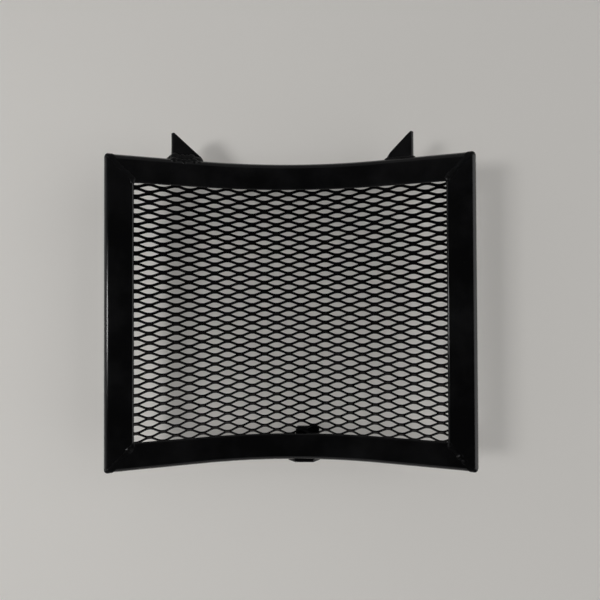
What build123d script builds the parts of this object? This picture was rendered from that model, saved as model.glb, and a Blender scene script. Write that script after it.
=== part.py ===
from build123d import *
import os
from math import atan2, cos, degrees, hypot, radians, sin, sqrt

# Radiator guard: a curved frame of folded, mitred and welded angle, with a raised mesh behind its face.
# X is to the right seen from the front, Y to the rear and Z up. It stands on its lower hook at Z = 0.

# Frame, seen in plan as an arc with a straight run at each end, hollow towards the front
frame_height = 304.2     # over the top and bottom flanges
curve_radius = 342.0     # front face of the arc
end_angle = 15.0         # turn of each straight run from the middle, degrees
end_length = 90.8        # straight run, from the arc to the outside of the stile
face_width = 27.2        # front leg of the angle
flange_depth = 18.0      # rear leg of the angle, from the front face
frame_sheet = 2.0
fold_radius = 5.5        # outside of the fold between the legs
corner_cut = 2.4         # outside corners of the frame, cut off under the weld
mitre_gap = 1.0          # root gap that the corner welds fill

# Corner weld beads
bead_width = 4.8
bead_rise = 1.0
bead_flats = 3           # flats of the bead as it turns from the face to the flanges

# Raised mesh, with openings in staggered columns
mesh_long_pitch = 25.12   # along a strand, from one opening to the next in the same row
mesh_short_pitch = 9.175  # up a column, from one opening to the next
mesh_bond = 3.0           # metal between the tips of two openings in a row
mesh_strand = 1.4         # metal between two openings of a column, on the front of the sheet
mesh_depth = 2.4          # front to back, as raised
mesh_drop = 1.84          # how far the strands lean down from front to back
mesh_lap = 11.0           # behind the frame's face, all round
mesh_seat = 0.15          # gap between the frame's face and the mesh
mesh_shift_x = -2.45      # middle column, from the middle of the frame
mesh_shift_z = 2.6        # middle row, from the middle of the frame
corner_clear = 24.0       # corners of the sheet left whole, where the mitre welds end

# Tack welds that hold the mesh, on its rear
tack_width = 10.0
tack_rise = 4.2
tack_taper = 35.0
tack_sides = 6
rail_tack_pitch = 80.0
stile_tack_pitch = 130.0

# Upper brackets, each folded from one sheet: a three-cornered gusset and an ear with a bolt hole
bracket_sheet = 2.5
bracket_fold = 3.0
bracket_rise = 26.9
bracket_base = 29.0
bracket_toe = 4.5         # height of the gusset at its thin end
ear_depth = 21.0
ear_corner = 9.0
bolt_hole = 6.5
bolt_height = 14.0        # above the top flange
bolt_setback = 11.5       # behind the gusset's face
left_bracket_inset = 61.4   # outside of the ear, from the outside of the stile
right_bracket_inset = 57.3

# Welds of the brackets: a fillet outside the ear, and one along the gusset's foot
left_ear_fillet = 6.0
right_ear_fillet = 2.5
left_foot_fillet = 3.0
right_foot_fillet = 2.4
foot_fillet_lap = 3.0     # beyond the gusset's thin end

# Lower hook: a plate under the bottom flange, turned up behind the mesh
hook_sheet = 3.0
hook_fold = 4.5
hook_x = 12.9             # middle of the plate
hook_width = 33.0
hook_lip_inset = 7.6      # lip narrower than the plate on its left
hook_rise = 30.7
hook_depth = 28.0         # from the frame's face to the rear of the lip
hook_setback = 3.0        # front edge behind the frame's face
hook_chamfer = 7.0
hook_lip_corner = 3.0
hook_bead = 2.5           # fillet behind the flange
hook_bead_length = 20.0
hook_fillet_leg = 2.0

# Ridge of a corner bead where it turns from the face to the flanges, on the diagonal from the sharp corner
ridge_out = bead_rise - corner_cut / sqrt(2)
ridge_turn = ridge_out - fold_radius
ridge_forward = bead_rise - fold_radius

# Where the frame lies, with the whole part centred on Y = 0 between the corner beads and the hook's lip
end_turn = radians(end_angle)
half_height = frame_height / 2
middle_z = hook_sheet + half_height
frame_sag = curve_radius * (1 - cos(end_turn)) + end_length * sin(end_turn)
ridge_slope = sin(end_turn) / sqrt(2)
front_reach = frame_sag + ridge_turn * ridge_slope + bead_rise * cos(end_turn)
front_y = (front_reach - hook_depth) / 2    # front face at the middle
through = frame_height                      # length of a cut that passes right through


def plan_point(turn, run, behind):
    """Point of the plan at a turn from the middle, then along the straight run, behind the front face"""
    radius = curve_radius + behind
    x = radius * sin(turn) + run * cos(turn)
    y = front_y + radius * cos(turn) - curve_radius - run * sin(turn)
    return x, y


# Frame of the right-hand straight run: X along it, Y up from mid-height and Z to the front
run_x, run_y = plan_point(end_turn, 0, 0)
right_run = Plane(
    origin=(run_x, run_y, middle_z),
    x_dir=(cos(end_turn), -sin(end_turn), 0),
    z_dir=(-sin(end_turn), -cos(end_turn), 0),
)


def on_right(piece):
    return right_run.location * piece


def to_left(piece):
    return mirror(piece, about=Plane.YZ)


def to_bottom(piece):
    return mirror(piece, about=Plane.XY.offset(middle_z))


def angle_section(face, flange, sheet, fold):
    """Folded angle with its outer corner at the origin, one leg along -X and the other along -Y"""
    outline = Polyline(
        (0, 0), (-face, 0), (-face, -sheet), (-sheet, -sheet), (-sheet, -flange), (0, -flange), close=True
    )
    section = make_face(outline)
    section = fillet(section.vertices().sort_by_distance((0, 0))[0], fold)
    inner_flat = (2 - sqrt(2)) * (fold - sheet)    # keeps the sheet's thickness in the middle of the fold
    return chamfer(section.vertices().sort_by_distance((-sheet, -sheet))[0], inner_flat)


def hanging_plane(out, up, forward):
    """Plane across a part of the straight run, for a section that is drawn out downwards"""
    return Plane(origin=(out, up, forward), x_dir=(1, 0, 0), z_dir=(0, -1, 0))


def through_cut(outline):
    """Cut right through the straight run from front to back"""
    return extrude(make_face(outline), through, both=True)


def corner_off():
    """What is cut off the outside corner of the frame"""
    outline = Polyline(
        (end_length, half_height - corner_cut),
        (end_length + corner_cut, half_height - corner_cut),
        (end_length + corner_cut, half_height + corner_cut),
        (end_length - corner_cut, half_height + corner_cut),
        (end_length - corner_cut, half_height),
        close=True,
    )
    return through_cut(outline)


def mitred_rail():
    """Top rail: the angle swept along the plan, mitred at both ends"""
    ends = [plan_point(side * end_turn, side * end_length, 0) for side in (-1, 1)]
    joins = [plan_point(side * end_turn, 0, 0) for side in (-1, 1)]
    arc = ThreePointArc(joins[0], plan_point(0, 0, 0), joins[1])
    path = Line(ends[0], joins[0]) + arc + Line(joins[1], ends[1])
    top_z = middle_z + half_height
    start = Plane(
        origin=(*ends[0], top_z),
        x_dir=(0, 0, 1),
        z_dir=(cos(end_turn), sin(end_turn), 0),
    )
    section = start * angle_section(face_width, flange_depth, frame_sheet, fold_radius)
    rail = sweep(section, path=Pos(0, 0, top_z) * path)
    edge = end_length - mitre_gap / sqrt(2)
    reach = 2 * face_width
    mitre = Polyline(
        (edge, half_height),
        (edge - reach, half_height - reach),
        (edge + reach, half_height - reach),
        (edge + reach, half_height + reach),
        (edge, half_height + reach),
        close=True,
    )
    cut = on_right(through_cut(mitre) + corner_off())
    return rail - cut - to_left(cut)


def mitred_stile():
    """Right stile: a straight length of the same angle, mitred at both ends"""
    section = angle_section(face_width, flange_depth, frame_sheet, fold_radius)
    stile = extrude(hanging_plane(end_length, half_height, 0) * section, frame_height)
    edge = half_height - mitre_gap / sqrt(2)
    reach = 2 * face_width
    mitre = Polyline(
        (end_length, edge),
        (end_length - reach, edge - reach),
        (end_length - reach, edge + reach),
        (end_length + reach, edge + reach),
        (end_length + reach, edge),
        close=True,
    )
    cut = through_cut(mitre) + corner_off()
    return on_right(stile - cut - mirror(cut, about=Plane.XZ))


def inside_of_corner():
    """Space inside the angle, behind the face and within the flanges"""
    return Pos(end_length - frame_sheet, half_height - frame_sheet, -frame_sheet) * Box(
        end_length, half_height, 2 * flange_depth, align=(Align.MAX, Align.MAX, Align.MAX)
    )


def corner_weld(rail, stile):
    """Top right bead: a ridge along the mitre of the face, round the corner and back along the flanges"""
    mitre = Plane(origin=(end_length, half_height, 0), x_dir=(1, 1, 0), z_dir=(1, -1, 0))
    root = 2 * frame_sheet
    inner_end = -sqrt(2) * face_width
    turns = [radians(90 * i / bead_flats) for i in range(bead_flats + 1)]
    outline = Polyline(
        *[(ridge_turn + fold_radius * sin(turn), ridge_forward + fold_radius * cos(turn)) for turn in turns],
        (ridge_out, -flange_depth),
        (ridge_out - root, -flange_depth),
        (ridge_out - root, -root),
        (inner_end, -root),
        (inner_end, bead_rise),
        close=True,
    )
    slope = degrees(atan2(bead_rise, bead_width / 2))
    half = extrude(mitre * make_face(outline), bead_width / 2, taper=slope)
    bead = half + mirror(half, about=mitre)
    return on_right(bead - inside_of_corner()) - rail - stile


# Mesh: its columns are measured along the middle of the raised sheet
mesh_front = frame_sheet + mesh_seat
mesh_middle = mesh_front + mesh_depth / 2
mesh_radius = curve_radius + mesh_middle
window_run = end_length - face_width
window_half_width = mesh_radius * end_turn + window_run
window_half_height = half_height - face_width
mesh_half_width = window_half_width + mesh_lap
mesh_half_height = window_half_height + mesh_lap


def mesh_station(along):
    """Turn and straight run of a place along the mesh"""
    turn = max(-end_turn, min(end_turn, along / mesh_radius))
    return turn, along - turn * mesh_radius


def mesh_columns():
    """Each column of openings that lies whole within the frame's window, as its number and place"""
    half_length = (mesh_long_pitch - mesh_bond) / 2
    most = int(2 * mesh_half_width / mesh_long_pitch) + 1
    places = [(i, mesh_shift_x + i * mesh_long_pitch / 2) for i in range(-most, most + 1)]
    return [(i, along) for i, along in places if abs(along) + half_length < window_half_width]


def mesh_blank():
    """Sheet of the mesh before it is opened, creased at each column of the arc"""
    last_crease = mesh_radius * end_turn + mesh_long_pitch / 4
    creases = [along for number, along in mesh_columns() if abs(along) < last_crease]
    stations = [mesh_station(along) for along in (-mesh_half_width, *creases, mesh_half_width)]
    front = [plan_point(turn, run, mesh_front) for turn, run in stations]
    rear = [plan_point(turn, run, mesh_front + mesh_depth) for turn, run in stations]
    plan = make_face(Polyline(*front, *reversed(rear), close=True))
    return Pos(0, 0, middle_z - mesh_half_height) * extrude(plan, 2 * mesh_half_height)


def column_openings(number, along):
    """Leaning cuts of one column, with every second column raised by half a pitch"""
    turn, run = mesh_station(along)
    before = mesh_depth / 2
    x, y = plan_point(turn, run, mesh_front - before)
    face = Plane(
        origin=(x, y, middle_z),
        x_dir=(cos(turn), -sin(turn), 0),
        z_dir=(-sin(turn), -cos(turn), 0),
    )
    lean = mesh_drop / mesh_depth
    rearward = Vector(sin(turn), cos(turn), -lean)
    lift = lean * (before + mesh_depth / 2)
    half_length = (mesh_long_pitch - mesh_bond) / 2
    half_opening = (mesh_short_pitch - mesh_strand) / 2
    to_side = window_half_width - abs(along)
    cuts = []
    rows = int(mesh_half_height / mesh_short_pitch) + 1
    for j in range(-rows, rows + 1):
        up = mesh_shift_z + (j + (number + 1) % 2 / 2) * mesh_short_pitch
        to_end = window_half_height - abs(up)
        if to_end < half_opening + mesh_drop / 2 or max(to_end, to_side) < corner_clear:
            continue
        diamond = Polyline(
            (-half_length, up + lift),
            (0, up + lift + half_opening),
            (half_length, up + lift),
            (0, up + lift - half_opening),
            close=True,
        )
        cuts.append(extrude(face * make_face(diamond), 2 * mesh_depth * hypot(1, lean), dir=rearward))
    return cuts


def mesh_tack(along, up):
    """Tapered dab on the rear of the frame's face, before it is fitted to the edge of the mesh"""
    turn, run = mesh_station(along)
    x, y = plan_point(turn, run, frame_sheet)
    seat = Plane(
        origin=(x, y, middle_z + up),
        x_dir=(cos(turn), -sin(turn), 0),
        z_dir=(sin(turn), cos(turn), 0),
    )
    return seat * extrude(RegularPolygon(tack_width / 2, tack_sides), tack_rise, taper=tack_taper)


def mesh_tack_places():
    """Three tacks along each rail and two along each stile, on the mesh's edge"""
    rails = [(i * rail_tack_pitch, side * mesh_half_height) for i in (-1, 0, 1) for side in (-1, 1)]
    stiles = [(side * mesh_half_width, i * stile_tack_pitch / 2) for i in (-1, 1) for side in (-1, 1)]
    return rails + stiles


# Brackets stand where the fold of the top rail ends
bracket_setback = fold_radius
left_bracket_run = end_length - left_bracket_inset
right_bracket_run = end_length - right_bracket_inset


def upper_bracket(run):
    """Folded bracket on the top flange of the right straight run, its ear's outside at a place along it"""
    top = half_height + bracket_rise
    section = angle_section(bracket_base, ear_depth, bracket_sheet, bracket_fold)
    bracket = extrude(hanging_plane(run, top, -bracket_setback) * section, bracket_rise)
    slope = Polyline(
        (run - bracket_fold, top),
        (run - bracket_base, half_height + bracket_toe),
        (run - 2 * bracket_base, half_height + bracket_toe),
        (run - 2 * bracket_base, top + bracket_rise),
        (run - bracket_fold, top + bracket_rise),
        close=True,
    )
    bracket -= through_cut(slope)
    rear_edge = bracket.edges().filter_by(Axis.X).group_by(Axis.Y)[-1].sort_by(Axis.Z)[0]
    bracket = fillet(rear_edge, ear_corner)
    hole = Pos(run, half_height + bolt_height, -bracket_setback - bolt_setback) * Rot(0, 90, 0) * Cylinder(
        bolt_hole / 2, 4 * bracket_sheet
    )
    return bracket - hole


def bracket_weld(run, ear_leg, foot_leg, rail):
    """Fillet along the outside of the ear, and one along the gusset's foot that fits the rail's fold"""
    ear_corner_outline = Polyline(
        (run, half_height), (run + ear_leg, half_height), (run, half_height + ear_leg), close=True
    )
    length = flange_depth - bracket_setback - bracket_fold
    ear_fillet = Pos(0, 0, -flange_depth) * extrude(make_face(ear_corner_outline), length)
    root = half_height - 0.75 * frame_sheet
    foot_outline = Polyline(
        (-bracket_setback, half_height + foot_leg),
        (-bracket_setback, root),
        (foot_leg - bracket_setback, root),
        close=True,
    )
    foot_length = bracket_base + foot_fillet_lap - bracket_fold
    side_view = Plane(origin=(run - bracket_fold, 0, 0), x_dir=(0, 0, 1), z_dir=(-1, 0, 0))
    foot_fillet = extrude(side_view * make_face(foot_outline), foot_length)
    return [on_right(ear_fillet), on_right(foot_fillet) - rail]


def lower_hook():
    """Plate under the bottom flange with chamfered front corners and a narrower lip turned up at its rear"""
    rear = front_y + hook_depth
    right = hook_x + hook_width / 2
    left = hook_x - hook_width / 2
    side_view = Plane(origin=(right, rear, 0), x_dir=(0, 1, 0), z_dir=(-1, 0, 0))
    section = angle_section(hook_depth - hook_setback, hook_rise, hook_sheet, hook_fold)
    hook = extrude(side_view * section, hook_width)
    hook -= Pos(left, rear, 0) * Box(
        2 * hook_lip_inset, 2 * hook_fold, 2 * hook_rise, align=(Align.CENTER, Align.CENTER, Align.CENTER)
    )
    front_edges = hook.edges().filter_by(Axis.Z).group_by(Axis.Y)[0]
    hook = chamfer(front_edges, hook_chamfer)
    lip_edges = hook.edges().filter_by(Axis.Y).group_by(Axis.Z)[-1]
    return fillet(lip_edges, hook_lip_corner)


def hook_welds(hook, rail):
    """Fillet across the plate behind the flange, and one along each side under the flange"""
    rear = front_y + flange_depth
    right = hook_x + (hook_lip_inset + hook_bead_length) / 2
    side_view = Plane(origin=(right, rear, hook_sheet), x_dir=(0, 1, 0), z_dir=(-1, 0, 0))
    bead_outline = Polyline(
        (-hook_bead, 0), (-hook_bead, -frame_sheet), (0, -frame_sheet), (hook_bead, 0), close=True
    )
    bead = extrude(side_view * make_face(bead_outline), hook_bead_length) - rail - hook
    start = hook_setback + hook_chamfer
    fillets = []
    for side in (-1, 1):
        edge = hook_x + side * hook_width / 2
        corner = Polyline(
            (edge, hook_sheet),
            (edge + side * hook_fillet_leg, hook_sheet),
            (edge, hook_sheet - hook_fillet_leg),
            close=True,
        )
        front = Plane(origin=(0, front_y + start, 0), x_dir=(1, 0, 0), z_dir=(0, -1, 0))
        fillets.append(extrude(front * make_face(corner), start - flange_depth))
    return [bead, *fillets]


def build_guard():
    """Every piece of the guard by its name"""
    pieces = {}
    top_rail = mitred_rail()
    right_stile = mitred_stile()
    pieces["top_rail"] = top_rail
    pieces["bottom_rail"] = to_bottom(top_rail)
    pieces["right_stile"] = right_stile
    pieces["left_stile"] = to_left(right_stile)

    top_right = corner_weld(top_rail, right_stile)
    pieces["weld_top_right"] = top_right
    pieces["weld_top_left"] = to_left(top_right)
    pieces["weld_bottom_right"] = to_bottom(top_right)
    pieces["weld_bottom_left"] = to_left(to_bottom(top_right))

    blank = mesh_blank()
    openings = [cut for number, along in mesh_columns() for cut in column_openings(number, along)]
    pieces["mesh_panel"] = blank - openings
    pieces["mesh_tacks"] = Compound([mesh_tack(*place) - blank for place in mesh_tack_places()])

    pieces["right_bracket"] = on_right(upper_bracket(right_bracket_run))
    pieces["left_bracket"] = to_left(on_right(upper_bracket(left_bracket_run)))
    right_welds = bracket_weld(right_bracket_run, right_ear_fillet, right_foot_fillet, top_rail)
    left_welds = bracket_weld(left_bracket_run, left_ear_fillet, left_foot_fillet, top_rail)
    pieces["right_bracket_weld"] = Compound(right_welds)
    pieces["left_bracket_weld"] = to_left(Compound(left_welds))

    hook = lower_hook()
    pieces["lower_hook"] = hook
    pieces["hook_welds"] = Compound(hook_welds(hook, pieces["bottom_rail"]))
    return pieces


os.makedirs("parts", exist_ok=True)
for name, piece in build_guard().items():
    export_step(piece, f"parts/{name}.step")
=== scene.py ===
from math import cos, exp, floor, pi, radians, sin, sqrt

import bmesh
import bpy
from mathutils import Euler, Matrix, Vector, noise


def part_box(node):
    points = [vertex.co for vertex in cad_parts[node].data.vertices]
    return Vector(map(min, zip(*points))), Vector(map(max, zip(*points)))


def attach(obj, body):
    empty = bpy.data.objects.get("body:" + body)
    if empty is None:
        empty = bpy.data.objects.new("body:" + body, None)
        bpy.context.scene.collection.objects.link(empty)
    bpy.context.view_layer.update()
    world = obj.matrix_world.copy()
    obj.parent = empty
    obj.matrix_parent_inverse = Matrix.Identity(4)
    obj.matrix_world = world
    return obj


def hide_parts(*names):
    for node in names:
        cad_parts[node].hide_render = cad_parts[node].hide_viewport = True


# Radiator guard in satin black powder coat. Meshes are drawn in millimetres and become metres at the end.
mm = 0.001
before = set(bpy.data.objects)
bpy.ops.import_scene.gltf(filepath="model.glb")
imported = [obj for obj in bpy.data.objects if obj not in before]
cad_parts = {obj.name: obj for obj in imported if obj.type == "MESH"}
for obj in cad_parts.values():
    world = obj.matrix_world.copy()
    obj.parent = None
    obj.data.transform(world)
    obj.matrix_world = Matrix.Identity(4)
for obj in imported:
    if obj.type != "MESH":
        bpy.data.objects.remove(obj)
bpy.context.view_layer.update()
print("loaded", len(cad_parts), "nodes of the guard")


# Colours and shader nodes

def linearColour(hexColour):
    levels = [int(hexColour[i:i + 2], 16) / 255 for i in (1, 3, 5)]
    return [c / 12.92 if c <= 0.04045 else ((c + 0.055) / 1.055) ** 2.4 for c in levels] + [1.0]


def addNode(tree, kind, values=None, links=None, **settings):
    node = tree.nodes.new(kind)
    for key, value in settings.items():
        setattr(node, key, value)
    for key, value in (values or {}).items():
        node.inputs[key].default_value = value
    for key, socket in (links or {}).items():
        tree.links.new(socket, node.inputs[key])
    return node


def newMaterial(name):
    material = bpy.data.materials.new(name)
    material.use_nodes = True
    material.node_tree.nodes.clear()
    return material, material.node_tree


mixFrom, mixTo, mixed = 6, 7, 2  # colour sockets of a mix node, whose names its other sockets share

coat = dict(
    colour="#070708",         # carbon black pigment
    hazeSize=42.0,            # mm across a pale patch, where handling has dulled the coat
    hazeRange=(0.42, 0.72),   # of the noise, from black to haze
    satinRange=(0.3, 0.7),    # of the noise, from the smoothest to the roughest
    peelSize=1.6,             # mm from crest to crest of the orange peel
    peelDepth=0.010,          # mm
    grainSize=0.45,           # mm, coarser than real powder grain so that it shows
    grainDepth=0.003,         # mm
)


def powderCoat(name, hazeColour, roughness, roughnessSpread, peelShare, ior):
    # Polyester powder baked on metal: deep black and satin, with an orange peel that breaks up highlights
    material, tree = newMaterial(name)
    place = addNode(tree, "ShaderNodeTexCoord").outputs["Object"]
    haze = addNode(
        tree, "ShaderNodeTexNoise",
        {"Scale": 1 / (coat["hazeSize"] * mm), "Detail": 5.0, "Roughness": 0.6}, {"Vector": place},
    )
    blackest, palest = coat["hazeRange"]
    hazeShare = addNode(
        tree, "ShaderNodeMapRange", {"From Min": blackest, "From Max": palest},
        {"Value": haze.outputs["Fac"]},
    )
    pigment = addNode(
        tree, "ShaderNodeMix", {mixFrom: linearColour(coat["colour"]), mixTo: linearColour(hazeColour)},
        {0: hazeShare.outputs["Result"]}, data_type="RGBA",
    )
    grain = addNode(
        tree, "ShaderNodeTexNoise",
        {"Scale": 1 / (coat["grainSize"] * mm), "Detail": 2.0}, {"Vector": place},
    )
    peel = addNode(
        tree, "ShaderNodeTexNoise",
        {"Scale": 1 / (coat["peelSize"] * mm), "Detail": 1.0}, {"Vector": place},
    )
    smoothest, roughest = coat["satinRange"]
    satin = addNode(
        tree, "ShaderNodeMapRange",
        {
            "From Min": smoothest, "From Max": roughest,
            "To Min": roughness - roughnessSpread, "To Max": roughness + roughnessSpread,
        },
        {"Value": haze.outputs["Fac"]},
    )
    grainBump = addNode(
        tree, "ShaderNodeBump", {"Strength": 1.0, "Distance": coat["grainDepth"] * mm},
        {"Height": grain.outputs["Fac"]},
    )
    peelBump = addNode(
        tree, "ShaderNodeBump", {"Strength": 1.0, "Distance": coat["peelDepth"] * peelShare * mm},
        {"Height": peel.outputs["Fac"], "Normal": grainBump.outputs["Normal"]},
    )
    surface = addNode(
        tree, "ShaderNodeBsdfPrincipled", {"IOR": ior},
        {
            "Base Color": pigment.outputs[mixed], "Roughness": satin.outputs["Result"],
            "Normal": peelBump.outputs["Normal"],
        },
    )
    addNode(tree, "ShaderNodeOutputMaterial", links={"Surface": surface.outputs["BSDF"]})
    return material


frameCoat = powderCoat(  # smoothest, with clear highlights along the folds
    "satinBlackPowderCoatOnSheet", hazeColour="#151516",
    roughness=0.19, roughnessSpread=0.03, peelShare=1.0, ior=1.48,
)
meshCoat = powderCoat(  # thin and dull on the cut strands
    "satinBlackPowderCoatOnMesh", hazeColour="#121213",
    roughness=0.28, roughnessSpread=0.03, peelShare=0.6, ior=1.14,
)
weldCoat = powderCoat(  # duller over the ripples and the ground face
    "satinBlackPowderCoatOnWeld", hazeColour="#111112",
    roughness=0.30, roughnessSpread=0.04, peelShare=0.8, ior=1.30,
)
print("powder coats mixed")


# Plan of the guard: an arc with a straight run at each end, hollow towards the front

plan = dict(curveRadius=342.0, endTurn=radians(15.0), endRun=90.8)
angleBar = dict(
    face=27.2, flange=18.0, sheet=2.0, fold=5.5,
    windowEdge=1.7,   # the face's inner edge, filed round at the front
    cutEdge=0.8,      # other cut edges under the coat
    rearEdge=0.25,
    foldSteps=10,
    cutSteps=4,
    arcSteps=40,
    mitreGap=1.0,
    cornerCut=3.9,    # outer corner taken off before it was welded
)
mergeGap = 1e-4       # mm, points nearer than this become one
planeGap = 1e-5       # mm, points nearer than this lie on a cut
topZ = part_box("top_rail")[1].z / mm
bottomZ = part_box("bottom_rail")[0].z / mm
middleZ = (topZ + bottomZ) / 2
halfHeight = (topZ - bottomZ) / 2
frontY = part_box("top_rail")[1].y / mm - angleBar["flange"]  # front face at the middle
arcCentre = Vector((0, frontY - plan["curveRadius"], 0))
runAlong = Vector((cos(plan["endTurn"]), -sin(plan["endTurn"]), 0))  # right straight run, outwards
runFront = Vector((-sin(plan["endTurn"]), -cos(plan["endTurn"]), 0))
upward = Vector((0, 0, 1))


def curvedPoint(along, up, behind, level=0.0):
    # Place along the plan, measured on the surface that lies level behind the front face
    turn = max(-plan["endTurn"], min(plan["endTurn"], along / (plan["curveRadius"] + level)))
    run = along - turn * (plan["curveRadius"] + level)
    reach = plan["curveRadius"] + behind
    return arcCentre + Vector((
        reach * sin(turn) + run * cos(turn),
        reach * cos(turn) - run * sin(turn),
        middleZ + up,
    ))


runStart = curvedPoint(plan["curveRadius"] * plan["endTurn"], 0, 0)


def onRightRun(out, up, forward):
    return runStart + runAlong * out + upward * up + runFront * forward


def mirrored(point, sideX, sideZ=1):
    return Vector((point.x * sideX, point.y, middleZ + (point.z - middleZ) * sideZ))


def mirrorMesh(bm, sideX, sideZ):
    for vert in bm.verts:
        vert.co = mirrored(vert.co, sideX, sideZ)
    if sideX * sideZ < 0:
        bmesh.ops.reverse_faces(bm, faces=bm.faces[:])


def smoothStep(share):
    share = max(0.0, min(1.0, share))
    return share * share * (3 - 2 * share)


def vertsOf(geom):
    return [e for e in geom if isinstance(e, bmesh.types.BMVert)]


def faceOf(geom):
    return next(e for e in geom if isinstance(e, bmesh.types.BMFace))


def finishPiece(name, bm, material, slotName, *replaced, sharpAngle=38.0):
    bmesh.ops.scale(bm, vec=(mm, mm, mm), verts=bm.verts[:])
    mesh = bpy.data.meshes.new(name)
    bm.to_mesh(mesh)
    bm.free()
    mesh.materials.append(material)
    mesh.shade_smooth()
    mesh.set_sharp_from_angle(angle=radians(sharpAngle))
    piece = bpy.data.objects.new(name, mesh)
    bpy.context.scene.collection.objects.link(piece)
    flatten = piece.modifiers.new("flatFaces", "WEIGHTED_NORMAL")
    flatten.keep_sharp = True
    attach(piece, "root")
    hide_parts(*replaced)


# Frame members: the angle drawn along the plan, then cut at the mitres

def angleSection(bm, place):
    bar = angleBar
    outline = [
        (0, 0, bar["fold"], bar["foldSteps"]),
        (0, bar["flange"], bar["cutEdge"], bar["cutSteps"]),
        (-bar["sheet"], bar["flange"], bar["cutEdge"], bar["cutSteps"]),
        (-bar["sheet"], bar["sheet"], bar["fold"] - bar["sheet"], bar["cutSteps"]),
        (-bar["face"], bar["sheet"], bar["rearEdge"], bar["cutSteps"]),
        (-bar["face"], 0, bar["windowEdge"], bar["cutSteps"]),
    ]
    corners = [bm.verts.new(place(inward, behind)) for inward, behind, radius, steps in outline]
    bm.faces.new(corners)
    for corner, (inward, behind, radius, steps) in zip(corners, outline):
        bmesh.ops.bevel(
            bm, geom=[corner], offset=radius, offset_type="OFFSET", segments=steps, profile=0.5,
            affect="VERTICES", material=-1,
        )
    bm.faces.ensure_lookup_table()
    return bm.faces[0]


def drawOut(bm, face, step):
    grown = bmesh.ops.extrude_face_region(bm, geom=[face])["geom"]
    bmesh.ops.translate(bm, vec=step, verts=vertsOf(grown))
    return faceOf(grown)


def cutOff(bm, point, normal):
    # Takes away what lies beyond a plane and closes the cut
    everything = bm.verts[:] + bm.edges[:] + bm.faces[:]
    bmesh.ops.bisect_plane(
        bm, geom=everything, dist=planeGap, plane_co=point, plane_no=normal, clear_outer=True,
    )
    bmesh.ops.holes_fill(bm, edges=[e for e in bm.edges if e.is_boundary], sides=0)


def cutMitre(bm, sideX, sideZ, railSide):
    gap = angleBar["mitreGap"] / sqrt(2)
    out = plan["endRun"] - (gap if railSide else 0)
    up = halfHeight - (0 if railSide else gap)
    across = (runAlong - upward) * (1 if railSide else -1)
    outwards = runAlong + upward
    corner = onRightRun(plan["endRun"], halfHeight, 0) - outwards * angleBar["cornerCut"] / 2
    for point, normal in ((onRightRun(out, up, 0), across), (corner, outwards)):
        flipped = Vector((normal.x * sideX, normal.y, normal.z * sideZ))
        cutOff(bm, mirrored(point, sideX, sideZ), flipped)


def railMesh():
    bm = bmesh.new()
    start = mirrored(onRightRun(plan["endRun"], halfHeight, 0), -1)
    leftRear = Vector((runFront.x, -runFront.y, 0))
    face = angleSection(bm, lambda inward, behind: start + upward * inward + leftRear * behind)
    leftAlong = Vector((runAlong.x, -runAlong.y, 0))
    face = drawOut(bm, face, leftAlong * plan["endRun"])
    turned = bmesh.ops.spin(
        bm, geom=[face] + face.edges[:] + face.verts[:], cent=arcCentre, axis=upward,
        angle=-2 * plan["endTurn"], steps=angleBar["arcSteps"],
    )["geom_last"]
    drawOut(bm, faceOf(turned), runAlong * plan["endRun"])
    bmesh.ops.remove_doubles(bm, verts=bm.verts[:], dist=mergeGap)
    inside = [face for face in bm.faces if all(len(edge.link_faces) > 2 for edge in face.edges)]
    bmesh.ops.delete(bm, geom=inside, context="FACES_ONLY")  # the section where the spin ended
    for sideX in (-1, 1):
        cutMitre(bm, sideX, 1, True)
    bmesh.ops.recalc_face_normals(bm, faces=bm.faces[:])
    return bm


def stileMesh():
    bm = bmesh.new()
    start = onRightRun(plan["endRun"], halfHeight, 0)
    face = angleSection(bm, lambda inward, behind: start + runAlong * inward - runFront * behind)
    drawOut(bm, face, upward * (-2 * halfHeight))
    for sideZ in (-1, 1):
        cutMitre(bm, 1, sideZ, False)
    bmesh.ops.recalc_face_normals(bm, faces=bm.faces[:])
    return bm


for name, node, drawn, sideX, sideZ in (
    ("topRail", "top_rail", railMesh, 1, 1),
    ("bottomRail", "bottom_rail", railMesh, 1, -1),
    ("rightStile", "right_stile", stileMesh, 1, 1),
    ("leftStile", "left_stile", stileMesh, -1, 1),
):
    bm = drawn()
    mirrorMesh(bm, sideX, sideZ)
    finishPiece(name, bm, frameCoat, "frame_coat", node)
print("frame folded and mitred")


# Raised mesh, made as the real one is: a sheet is slit in staggered rows and stretched

strands = dict(
    longPitch=25.12, shortPitch=9.175,
    width=2.55, thickness=1.36,
    lean=radians(52.5),   # turn of a strand out of the panel
    shiftX=-2.45, shiftZ=2.6,
    lap=11.0,             # behind the frame's face
    seat=0.15,            # clear of the rear of the face
    stepsPerColumn=8,     # the flat bond takes one step each side of a column
    roundness=0.5,        # 0 gives straight strands, 1 a full S
    sharpAngle=30.0,
)
windowHalfWidth = plan["curveRadius"] * plan["endTurn"] + plan["endRun"] - angleBar["face"]
windowHalfHeight = halfHeight - angleBar["face"]


def strandSway(strip, along):
    # 1 where a strand is pulled up, -1 where it is pulled down, flat at the bonds
    columns = along / (strands["longPitch"] / 2)
    column = floor(columns)
    flat = 1 / strands["stepsPerColumn"]
    share = max(0.0, min(1.0, (columns - column - flat) / (1 - 2 * flat)))
    share += (smoothStep(share) - share) * strands["roundness"]
    start = 1 if (column + strip) % 2 else -1
    return start * (1 - 2 * share)


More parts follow.
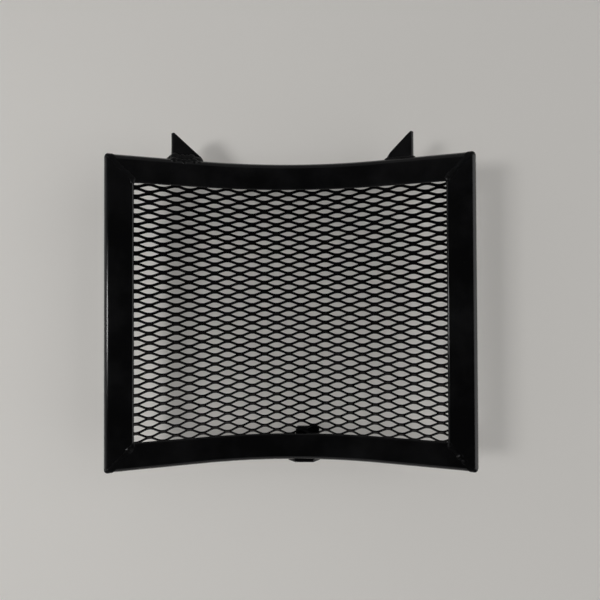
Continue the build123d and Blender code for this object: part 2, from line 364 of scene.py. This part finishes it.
def meshPanel():
    s = strands
    half = s["longPitch"] / 2
    columns = int((windowHalfWidth + s["lap"] + abs(s["shiftX"])) / half) + 2
    strips = int((windowHalfHeight + s["lap"] + abs(s["shiftZ"])) / (s["shortPitch"] / 2)) + 3
    bm = bmesh.new()
    bmesh.ops.create_grid(bm, x_segments=2 * columns * s["stepsPerColumn"], y_segments=2 * strips, size=1.0)
    bmesh.ops.scale(bm, vec=(columns * half, strips * s["width"], 1), verts=bm.verts[:])

    # Slits between the strips, with bonds left at every second column
    slits = []
    for edge in bm.edges:
        one, two = (vert.co for vert in edge.verts)
        if abs(one.y - two.y) > s["width"] / 4:
            continue
        line = round(one.y / s["width"])
        middle = (one.x + two.x) / 2 / half
        toBond = abs((middle + line + 1) % 2 - 1)  # columns from the nearest bond
        if toBond > 1 / s["stepsPerColumn"]:
            slits.append(edge)
    bmesh.ops.split_edges(bm, edges=slits)

    # Stretch: each strip sways up and down, leaning so that its upper edge comes to the front
    sway = (s["shortPitch"] / 2 - s["width"] * cos(s["lean"])) / 2
    moved = []
    for vert in bm.verts:
        strip = floor(vert.link_faces[0].calc_center_median().y / s["width"])
        pull = strandSway(strip, vert.co.x)
        across = vert.co.y - (strip + 0.5) * s["width"]
        up = (strip + 0.5) * s["shortPitch"] / 2 + sway * pull + across * cos(s["lean"])
        forward = (across - s["width"] / 2 * pull) * sin(s["lean"])
        moved.append((vert, Vector((vert.co.x + s["shiftX"], up + s["shiftZ"], forward))))
    for vert, place in moved:
        vert.co = place
    bmesh.ops.recalc_face_normals(bm, faces=bm.faces[:])
    bmesh.ops.solidify(bm, geom=bm.faces[:], thickness=s["thickness"])

    # Trim to the panel's size
    width, height = windowHalfWidth + s["lap"], windowHalfHeight + s["lap"]
    for point, normal in (
        ((width, 0, 0), (1, 0, 0)), ((-width, 0, 0), (-1, 0, 0)),
        ((0, height, 0), (0, 1, 0)), ((0, -height, 0), (0, -1, 0)),
    ):
        cutOff(bm, point, normal)
    bmesh.ops.recalc_face_normals(bm, faces=bm.faces[:])

    # Bend to the plan, against the rear of the frame's face
    front = max(vert.co.z for vert in bm.verts)
    rear = min(vert.co.z for vert in bm.verts)
    seat = angleBar["sheet"] + s["seat"]
    level = seat + (front - rear) / 2
    for vert in bm.verts:
        vert.co = curvedPoint(vert.co.x, vert.co.y, seat + front - vert.co.z, level)
    print("mesh depth", round(front - rear, 2), "faces", len(bm.faces))
    return bm


finishPiece("raisedMesh", meshPanel(), meshCoat, "mesh_coat", "mesh_panel", sharpAngle=strands["sharpAngle"])
print("mesh slit, stretched and bent")


# Brackets and hook: the solids with their edges softened, as coated sheet has them

softEdge = dict(
    mergeGap=0.002,            # mm
    flatAngle=radians(0.5),    # triangles that turn less become one face
    sharpAngle=radians(35.0),  # edges that turn more are rounded
    steps=3,
)
rightSlope = ((22.6, 19.4), (10.65, 7.5), (6.0, 0.3))  # the right gusset grows steeper towards its foot


def softCopy(node, radius, trim):
    bm = bmesh.new()
    bm.from_mesh(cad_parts[node].data)
    bmesh.ops.scale(bm, vec=(1 / mm, 1 / mm, 1 / mm), verts=bm.verts[:])
    bmesh.ops.remove_doubles(bm, verts=bm.verts[:], dist=softEdge["mergeGap"])
    bmesh.ops.dissolve_limit(bm, angle_limit=softEdge["flatAngle"], verts=bm.verts[:], edges=bm.edges[:])
    places = [onRightRun(out, halfHeight + up, 0) for out, up in trim]
    for high, low in zip(places, places[1:]):
        cutOff(bm, high, runFront.cross(high - low))
    sharp = [e for e in bm.edges if e.is_manifold and e.calc_face_angle() > softEdge["sharpAngle"]]
    bmesh.ops.bevel(
        bm, geom=sharp, offset=radius, offset_type="OFFSET", segments=softEdge["steps"], profile=0.5,
        affect="EDGES", material=-1,
    )
    return bm


for name, node, radius, trim in (
    ("leftBracket", "left_bracket", 0.6, ()),
    ("rightBracket", "right_bracket", 0.6, rightSlope),
    ("lowerHook", "lower_hook", 0.5, ()),
):
    finishPiece(name, softCopy(node, radius, trim), frameCoat, "frame_coat", node)
print("brackets and hook softened")


# Weld metal: beads laid as rippled, lumpy strips with their edges sunk in the sheet, and round dabs

weldLook = dict(
    ripplePitch=1.7,     # mm from one frozen ripple to the next
    rippleDepth=0.22,
    crescent=1.6,        # mm that a ripple bows back along the bead
    lumpSize=4.5,
    lumpDepth=0.5,
    groundLumps=0.75,    # share of the lumps that goes where the ripples are ground off
    wall=0.8,
    step=0.35,           # mm along a bead
    acrossSteps=12,
    dabSteps=4,
    dabLump=0.09,        # share of a dab's radius
    dabLumpsAcross=1.7,  # lumps in a dab's radius
    sharpAngle=60.0,
)
filletLook = dict(
    taper=2.2,           # mm at each end
    endReach=0.35,       # share of the legs that an end still covers
    endWidth=0.5,        # share of the width
    endSink=0.4,
    edgeLap=0.15,        # beyond the legs
    edgeSink=0.25,
)


def joinMesh(bm, part):
    carried = bpy.data.meshes.new("carried")
    part.to_mesh(carried)
    part.free()
    bm.from_mesh(carried)
    bpy.data.meshes.remove(carried)


def finishWeld(name, bm, node):
    finishPiece(name, bm, weldCoat, "weld_coat", node, sharpAngle=weldLook["sharpAngle"])


def layBead(bm, length, ridge, seed):
    # For a length along the bead, ridge gives its top's place, the outward and across directions,
    # half the width, the fall from the top to the edges and the share that is ground off
    look = weldLook
    strip = bmesh.new()
    bmesh.ops.create_grid(
        strip, x_segments=int(length / look["step"]), y_segments=look["acrossSteps"], size=1.0,
    )
    inward = strip.verts.layers.float_vector.new("inward")
    for vert in strip.verts:
        along = (vert.co.x + 1) / 2 * length
        side = vert.co.y
        place, outward, across, halfWidth, fall, ground = ridge(along)
        spot = place + across * (halfWidth * side)
        lump = noise.noise(spot / look["lumpSize"] + Vector((seed, 0, 0))) * 0.5 + 0.5
        phase = (along + look["crescent"] * side * side) / look["ripplePitch"] + lump
        ripple = look["rippleDepth"] * (0.5 - 0.5 * cos(2 * pi * phase)) * (1 - side * side) * (1 - ground)
        lumps = look["lumpDepth"] * lump * (1 - look["groundLumps"] * ground)
        vert.co = spot - outward * (fall * side * side + ripple + lumps)
        vert[inward] = -outward * look["wall"]
    skin = strip.faces[:] + strip.edges[:] + strip.verts[:]
    below = bmesh.ops.extrude_face_region(strip, geom=skin, use_keep_orig=True)["geom"]
    for vert in vertsOf(below):
        vert.co += vert[inward]
    strip.normal_update()
    bmesh.ops.recalc_face_normals(strip, faces=strip.faces[:])
    joinMesh(bm, strip)


def layFillet(bm, start, end, legOne, legTwo, bulge, seed):
    # Along an inner corner, with legs that reach up the two surfaces it joins
    f = filletLook
    length = (end - start).length
    middle = (legOne + legTwo) / 2
    across = (legOne - legTwo).normalized()
    outward = (middle - across * middle.dot(across)).normalized()

    def ridge(along):
        full = smoothStep(min(along, length - along) / f["taper"])
        place = start.lerp(end, along / length) + middle * (f["endReach"] + (1 - f["endReach"]) * full)
        place += outward * (bulge * full - f["endSink"] * (1 - full))
        widthShare = f["endWidth"] + (1 - f["endWidth"]) * full
        halfWidth = (legOne - legTwo).length / 2 * widthShare + f["edgeLap"]
        return place, outward, across, halfWidth, bulge + f["edgeSink"], 0.0

    layBead(bm, length, ridge, seed)


def addDab(bm, place, axes, seed, base=None):
    # Round dab, cut off flat at the base where that is given
    look = weldLook
    dab = bmesh.new()
    bmesh.ops.create_icosphere(dab, subdivisions=look["dabSteps"], radius=1.0)
    for vert in dab.verts:
        spot = vert.co * look["dabLumpsAcross"] + Vector((seed, 0, 0))
        lump = 1 - look["dabLump"] * (noise.noise(spot) + 1)
        vert.co = place + (axes[0] * vert.co.x + axes[1] * vert.co.y + axes[2] * vert.co.z) * lump
    if base:
        cutOff(dab, place, base)
    dab.normal_update()
    bmesh.ops.recalc_face_normals(dab, faces=dab.faces[:])
    joinMesh(bm, dab)


# Corner welds: ground down on the face, left as laid at the window's corner and round the outside

cornerBead = dict(
    faceHalfWidth=3.7,
    cornerHalfWidth=4.2,
    faceShift=-1.7,      # the bead lies more on the rail than on the stile
    shiftLength=6.0,     # mm in which it gets there from the window's corner
    faceRise=0.46,
    innerReach=0.8,      # into the window's corner
    outerStart=0.4,      # radians of the turn over the fold, where the ground face ends
    outerSpan=0.8,
    flangeRise=0.9,
    rearGap=0.1,         # short of the flange's rear edge
    bulbLength=6.0,      # of the lump at the corner's front
    faceSink=0.12,       # of the edges under the sheet
    flangeSink=0.13,     # more of it outside
    foldFall=1.6,        # more fall to the edges, where the folds drop away from the mitre
    flangeFall=1.45,
    taper=2.2,           # mm at the window's end, half of it at the rear
    endSink=0.9,
    endNarrow=0.5,       # share of the width that an end loses
    proudLength=1.9,     # of the lumps that the grinding missed
    ground=0.3,          # share of the ripples that was ground off the face
)


def cornerWeld(bulb, proud, seed):
    c = cornerBead
    fold = angleBar["fold"]
    foldWidth = sqrt(2) * fold  # as the mitre cuts it
    flat = sqrt(2) * angleBar["face"] + c["innerReach"] - foldWidth
    turnLength = pi / 2 * sqrt((foldWidth ** 2 + fold ** 2) / 2)
    length = flat + turnLength + angleBar["flange"] - fold - c["rearGap"]
    outside = (runAlong + upward).normalized()
    across = (runAlong - upward).normalized()
    corner = onRightRun(plan["endRun"], halfHeight, 0)

    def ridge(along):
        turn = max(0.0, min(1.0, (along - flat) / turnLength)) * pi / 2
        rear = max(0.0, along - flat - turnLength)
        out = min(foldWidth * (sin(turn) - 1), -angleBar["cornerCut"] / sqrt(2)) - max(0.0, flat - along)
        forward = fold * (cos(turn) - 1) - rear
        normal = (outside * fold * sin(turn) + runFront * foldWidth * cos(turn)).normalized()
        outer = smoothStep((turn - c["outerStart"]) / c["outerSpan"])
        atBulb = outer * (1 - smoothStep(rear / c["bulbLength"]))
        rise = c["faceRise"] + (c["flangeRise"] - c["faceRise"]) * outer + (bulb - c["flangeRise"]) * atBulb
        missed = sum(height * exp(-((along - at) / c["proudLength"]) ** 2) for at, height in proud)
        rise += missed * (1 - outer)
        fall = rise + c["faceSink"] + c["flangeSink"] * outer
        fall += c["foldFall"] * sin(2 * turn) + c["flangeFall"] * sin(turn) ** 2
        end = 1 - smoothStep(min(along, 2 * (length - along)) / c["taper"])
        halfWidth = c["faceHalfWidth"] + (c["cornerHalfWidth"] - c["faceHalfWidth"]) * outer
        halfWidth *= 1 - c["endNarrow"] * end
        place = corner + outside * out + runFront * forward + normal * (rise - c["endSink"] * end)
        place += across * (c["faceShift"] * (1 - smoothStep(turn)) * smoothStep(along / c["shiftLength"]))
        return place, normal, across, halfWidth, fall, c["ground"] * (1 - outer)

    bm = bmesh.new()
    layBead(bm, length, ridge, seed)
    return bm


# The lumps that stand proud on the face are given by their place along the bead and their height
for name, node, sideX, sideZ, bulb, proud, seed in (
    ("weldTopRight", "weld_top_right", 1, 1, 0.7, ((2.5, 0.5), (7.0, 0.4)), 3.1),
    ("weldTopLeft", "weld_top_left", -1, 1, 0.8, ((2.5, 0.35),), 11.7),
    ("weldBottomRight", "weld_bottom_right", 1, -1, 0.8, ((4.0, 0.4), (17.0, 0.5), (23.0, 0.4)), 23.9),
    ("weldBottomLeft", "weld_bottom_left", -1, -1, 1.3, ((8.0, 0.65),), 41.3),
):
    bm = cornerWeld(bulb, proud, seed)
    mirrorMesh(bm, sideX, sideZ)
    finishWeld(name, bm, node)
print("corners welded")


# Bracket welds: fillets up the outside of the ear and at the gusset's thin end, and dabs run together
# along the gusset's foot, the left bracket's in two rows

bracketWelds = [
    dict(
        name="leftBracketWeld", node="left_bracket_weld", side=-1, inset=61.4, seed=5.0,
        earLeg=6.2, earBulge=-0.3, footLength=29.0, toeLegs=((0.0, 5.6), (-3.4, 0.0)), toeBulge=-0.1,
        rows=[
            dict(
                dabs=6, first=4.4, last=24.6, size=(4.9, 3.3, 5.6),
                up=0.4, forward=0.3, uneven=0.18, stray=1.2,
            ),
            dict(
                dabs=6, first=3.4, last=25.6, size=(4.2, 2.8, 3.4),
                up=-2.9, forward=3.0, uneven=0.25, stray=1.5,
            ),
        ],
        endSize=(3.0, 3.0, 4.2), endUp=0.4, endOut=2.2,
    ),
    dict(
        name="rightBracketWeld", node="right_bracket_weld", side=1, inset=57.3, seed=17.0,
        earLeg=2.6, earBulge=-0.35, footLength=27.6, toeLegs=((2.0, 3.0), (-3.2, 0.0)), toeBulge=-0.35,
        rows=[
            dict(
                dabs=12, first=1.0, last=25.4, size=(3.2, 2.6, 2.2),
                up=0.0, forward=0.2, uneven=0.08, stray=0.2,
            ),
        ],
        endSize=(2.2, 2.2, 2.2), endUp=0.0, endOut=1.4,
    ),
]
bracketFoot = dict(
    rearGap=1.0,         # from the flange's rear edge to the ear's fillet
    frontLap=1.2,        # of the fillets before the gusset's face
    toeDepth=3.4,        # of the fillet at the thin end, behind that face
    endDepth=0.6,        # of the dab there
    toeSeed=20, endSeed=40, dabSeed=1.3,
    sizeWave=2.4, outWave=5.1, upWave=3.3,   # how a dab's seed sets its size and where it strays
)
for weld in bracketWelds:
    b = bracketFoot
    bm = bmesh.new()
    run = plan["endRun"] - weld["inset"]
    thinEnd = run - weld["footLength"]
    foot = -angleBar["fold"]
    front = foot + b["frontLap"]
    rear = b["rearGap"] - angleBar["flange"]
    layFillet(
        bm, onRightRun(run, halfHeight, rear), onRightRun(run, halfHeight, front),
        upward * weld["earLeg"], runAlong * weld["earLeg"], weld["earBulge"], weld["seed"],
    )
    legs = [runAlong * out + upward * up for out, up in weld["toeLegs"]]
    layFillet(
        bm, onRightRun(thinEnd, halfHeight, foot - b["toeDepth"]), onRightRun(thinEnd, halfHeight, front),
        *legs, weld["toeBulge"], weld["seed"] + b["toeSeed"],
    )
    seed = weld["seed"]
    for row in weld["rows"]:
        wide, deep, tall = row["size"]
        for i in range(row["dabs"]):
            seed += b["dabSeed"]
            grow = 1 + row["uneven"] * sin(b["sizeWave"] * seed)
            setback = row["first"] + (row["last"] - row["first"]) * i / (row["dabs"] - 1)
            out = run - setback + row["stray"] * sin(b["outWave"] * seed)
            up = halfHeight + row["up"] + row["stray"] / 2 * sin(b["upWave"] * seed)
            addDab(
                bm, onRightRun(out, up, foot + row["forward"]),
                (runAlong * wide, runFront * (deep * grow), upward * (tall * grow)), seed,
            )
    wide, deep, tall = weld["endSize"]
    addDab(
        bm, onRightRun(thinEnd + weld["endOut"], halfHeight + weld["endUp"], foot - b["endDepth"]),
        (runAlong * wide, runFront * deep, upward * tall), weld["seed"] + b["endSeed"],
    )
    mirrorMesh(bm, weld["side"], 1)
    finishWeld(weld["name"], bm, weld["node"])
print("brackets welded")


# Hook welds: one bead across the plate behind the flange, and a fillet along each side under it

hookWeld = dict(
    plateX=12.9, plateWidth=33.0, plateTop=3.0,
    beadX=16.7, beadLength=20.0, beadLeg=2.5, beadBulge=0.1, beadSeed=8.0,
    sideLeg=2.0, sideBulge=0.05, sideSeed=31.0,
    frontInset=10.0,     # of the side fillets from the frame's face
    rearGap=0.3,         # short of the flange's rear edge
)


def hookWelds():
    h = hookWeld
    bm = bmesh.new()
    rearY = frontY + angleBar["flange"]
    backward, rightward = Vector((0, 1, 0)), Vector((1, 0, 0))
    half = rightward * h["beadLength"] / 2
    middle = Vector((h["beadX"], rearY, h["plateTop"]))
    layFillet(
        bm, middle - half, middle + half,
        upward * angleBar["sheet"], backward * h["beadLeg"], h["beadBulge"], h["beadSeed"],
    )
    for side in (-1, 1):
        edge = Vector((h["plateX"] + side * h["plateWidth"] / 2, 0, h["plateTop"]))
        layFillet(
            bm, edge + backward * (frontY + h["frontInset"]), edge + backward * (rearY - h["rearGap"]),
            rightward * (side * h["sideLeg"]), upward * -h["sideLeg"], h["sideBulge"], h["sideSeed"] + side,
        )
    return bm


finishWeld("hookWelds", hookWelds(), "hook_welds")


# Tacks that hold the mesh's edge to the rear of the face

tack = dict(radius=5.4, rise=4.6, railPitch=80.0, stilePitch=130.0, seedStep=2.7)


def meshTacks():
    bm = bmesh.new()
    width, height = windowHalfWidth + strands["lap"], windowHalfHeight + strands["lap"]
    places = [(i * tack["railPitch"], side * height) for i in (-1, 0, 1) for side in (-1, 1)]
    places += [(side * width, i * tack["stilePitch"] / 2) for i in (-1, 1) for side in (-1, 1)]
    for number, (along, up) in enumerate(places):
        seat = curvedPoint(along, up, angleBar["sheet"])
        rearward = curvedPoint(along, up, angleBar["sheet"] + 1) - seat
        sideways = upward.cross(rearward)
        axes = (sideways * tack["radius"], upward * tack["radius"], rearward * tack["rise"])
        addDab(bm, seat, axes, tack["seedStep"] * number, -rearward)
    return bm


finishWeld("meshTacks", meshTacks(), "mesh_tacks")
print("hook welded, mesh tacked")


# Stage, light and camera

# In the photo the guard lies on a pale floor and is seen from above, so that floor stands upright here
stage = dict(
    colour="#efece7",
    lift=0.15,        # glow that the camera and mirroring surfaces see
    floorY=44.0,      # mm, clear behind the hook
    reach=4000.0,
)


def paleFloor():
    # Pale card, seen from its front only, that lets the lamp behind it through
    material, tree = newMaterial("paleMattCard")
    seen = addNode(tree, "ShaderNodeLightPath").outputs
    lifted = seen["Is Camera Ray"]
    for ray in ("Is Glossy Ray", "Is Transmission Ray"):
        either = addNode(tree, "ShaderNodeMath", links={0: lifted, 1: seen[ray]}, operation="MAXIMUM")
        lifted = either.outputs[0]
    lift = addNode(tree, "ShaderNodeMath", {1: stage["lift"]}, {0: lifted}, operation="MULTIPLY")
    matt = addNode(
        tree, "ShaderNodeBsdfPrincipled",
        {
            "Base Color": linearColour(stage["colour"]), "Roughness": 0.95, "Specular IOR Level": 0.1,
            "Emission Color": linearColour(stage["colour"]),
        },
        {"Emission Strength": lift.outputs[0]},
    )
    clear = addNode(tree, "ShaderNodeBsdfTransparent")
    behind = addNode(tree, "ShaderNodeNewGeometry").outputs["Backfacing"]
    passes = addNode(
        tree, "ShaderNodeMath", links={0: behind, 1: seen["Is Shadow Ray"]}, operation="MAXIMUM",
    )
    oneSided = addNode(
        tree, "ShaderNodeMixShader",
        links={0: passes.outputs[0], 1: matt.outputs["BSDF"], 2: clear.outputs["BSDF"]},
    )
    addNode(tree, "ShaderNodeOutputMaterial", links={"Surface": oneSided.outputs["Shader"]})
    bm = bmesh.new()
    upright = Matrix.Translation((0, stage["floorY"], 0)) @ Matrix.Rotation(pi / 2, 4, "X")
    bmesh.ops.create_grid(bm, x_segments=1, y_segments=1, size=stage["reach"], matrix=upright)
    bmesh.ops.scale(bm, vec=(mm, mm, mm), verts=bm.verts[:])
    mesh = bpy.data.meshes.new("paleFloor")
    bm.to_mesh(mesh)
    bm.free()
    mesh.materials.append(material)
    card = bpy.data.objects.new("paleFloor", mesh)
    bpy.context.scene.collection.objects.link(card)


paleFloor()

lamps = [
    dict(name="lampOnTheLeft", place=(-800, -1030, 120), aim=(0, 0, 150), size=(310, 260), power=4.1),
    dict(name="windowOnTheRight", place=(2300, -1100, 150), aim=(0, 0, 150), size=(2800, 2800), power=27.2),
    dict(name="wallOnTheLeft", place=(-2600, -700, 550), aim=(0, 0, 550), size=(2400, 3200), power=10.7),
    dict(name="ceiling", place=(0, -750, 1500), aim=(0, 0, 150), size=(2400, 2000), power=3.0),
    dict(name="tableBelow", place=(0, -270, -700), aim=(0, 0, 0), size=(1600, 500), power=1.0),
    dict(name="lampBehind", place=(0, 900, 1100), aim=(0, 0, 150), size=(1600, 900), power=16.0),
]
for lamp in lamps:
    light = bpy.data.lights.new(lamp["name"], "AREA")
    light.energy = lamp["power"]
    light.shape = "RECTANGLE"
    light.size, light.size_y = (side * mm for side in lamp["size"])
    body = bpy.data.objects.new(lamp["name"], light)
    body.location = Vector(lamp["place"]) * mm
    body.rotation_euler = (Vector(lamp["aim"]) - Vector(lamp["place"])).to_track_quat("-Z", "Y").to_euler()
    bpy.context.scene.collection.objects.link(body)

# The room is dim, but pale to the camera, and pale behind the guard to what mirrors it
room = dict(dim="#262626", pale="#b6b3af")
world = bpy.data.worlds.new("room")
bpy.context.scene.world = world
world.use_nodes = True
tree = world.node_tree
seen = addNode(tree, "ShaderNodeLightPath").outputs
mirrorRay = addNode(
    tree, "ShaderNodeMath", links={0: seen["Is Glossy Ray"], 1: seen["Is Transmission Ray"]},
    operation="MAXIMUM",
)
direction = addNode(tree, "ShaderNodeTexCoord").outputs["Generated"]
depth = addNode(tree, "ShaderNodeSeparateXYZ", links={"Vector": direction}).outputs["Y"]
toTheRear = addNode(tree, "ShaderNodeMath", {1: 0.0}, {0: depth}, operation="GREATER_THAN")
mirroredRear = addNode(
    tree, "ShaderNodeMath", links={0: mirrorRay.outputs[0], 1: toTheRear.outputs[0]}, operation="MULTIPLY",
)
pale = addNode(
    tree, "ShaderNodeMath", links={0: seen["Is Camera Ray"], 1: mirroredRear.outputs[0]},
    operation="MAXIMUM",
)
tone = addNode(
    tree, "ShaderNodeMix", {mixFrom: linearColour(room["dim"]), mixTo: linearColour(room["pale"])},
    {0: pale.outputs[0]}, data_type="RGBA",
)
tree.links.new(tone.outputs[mixed], tree.nodes["Background"].inputs["Color"])

view = dict(
    place=(10.75, frontY - 427.2, middleZ + 6.9),  # mm
    turn=(90.621, 0.24, 0.214),                    # degrees
    lens=25.04, sensor=36.0,
    nearest=10.0,                                  # mm
)
lens = bpy.data.cameras.new("camera")
lens.lens = view["lens"]
lens.sensor_width = view["sensor"]
lens.clip_start = view["nearest"] * mm
camera = bpy.data.objects.new("camera", lens)
camera.location = Vector(view["place"]) * mm
camera.rotation_euler = Euler([radians(a) for a in view["turn"]])
bpy.context.scene.collection.objects.link(camera)
bpy.context.scene.camera = camera
bpy.context.scene.view_settings.view_transform = "Standard"
print("stage lit, camera placed")
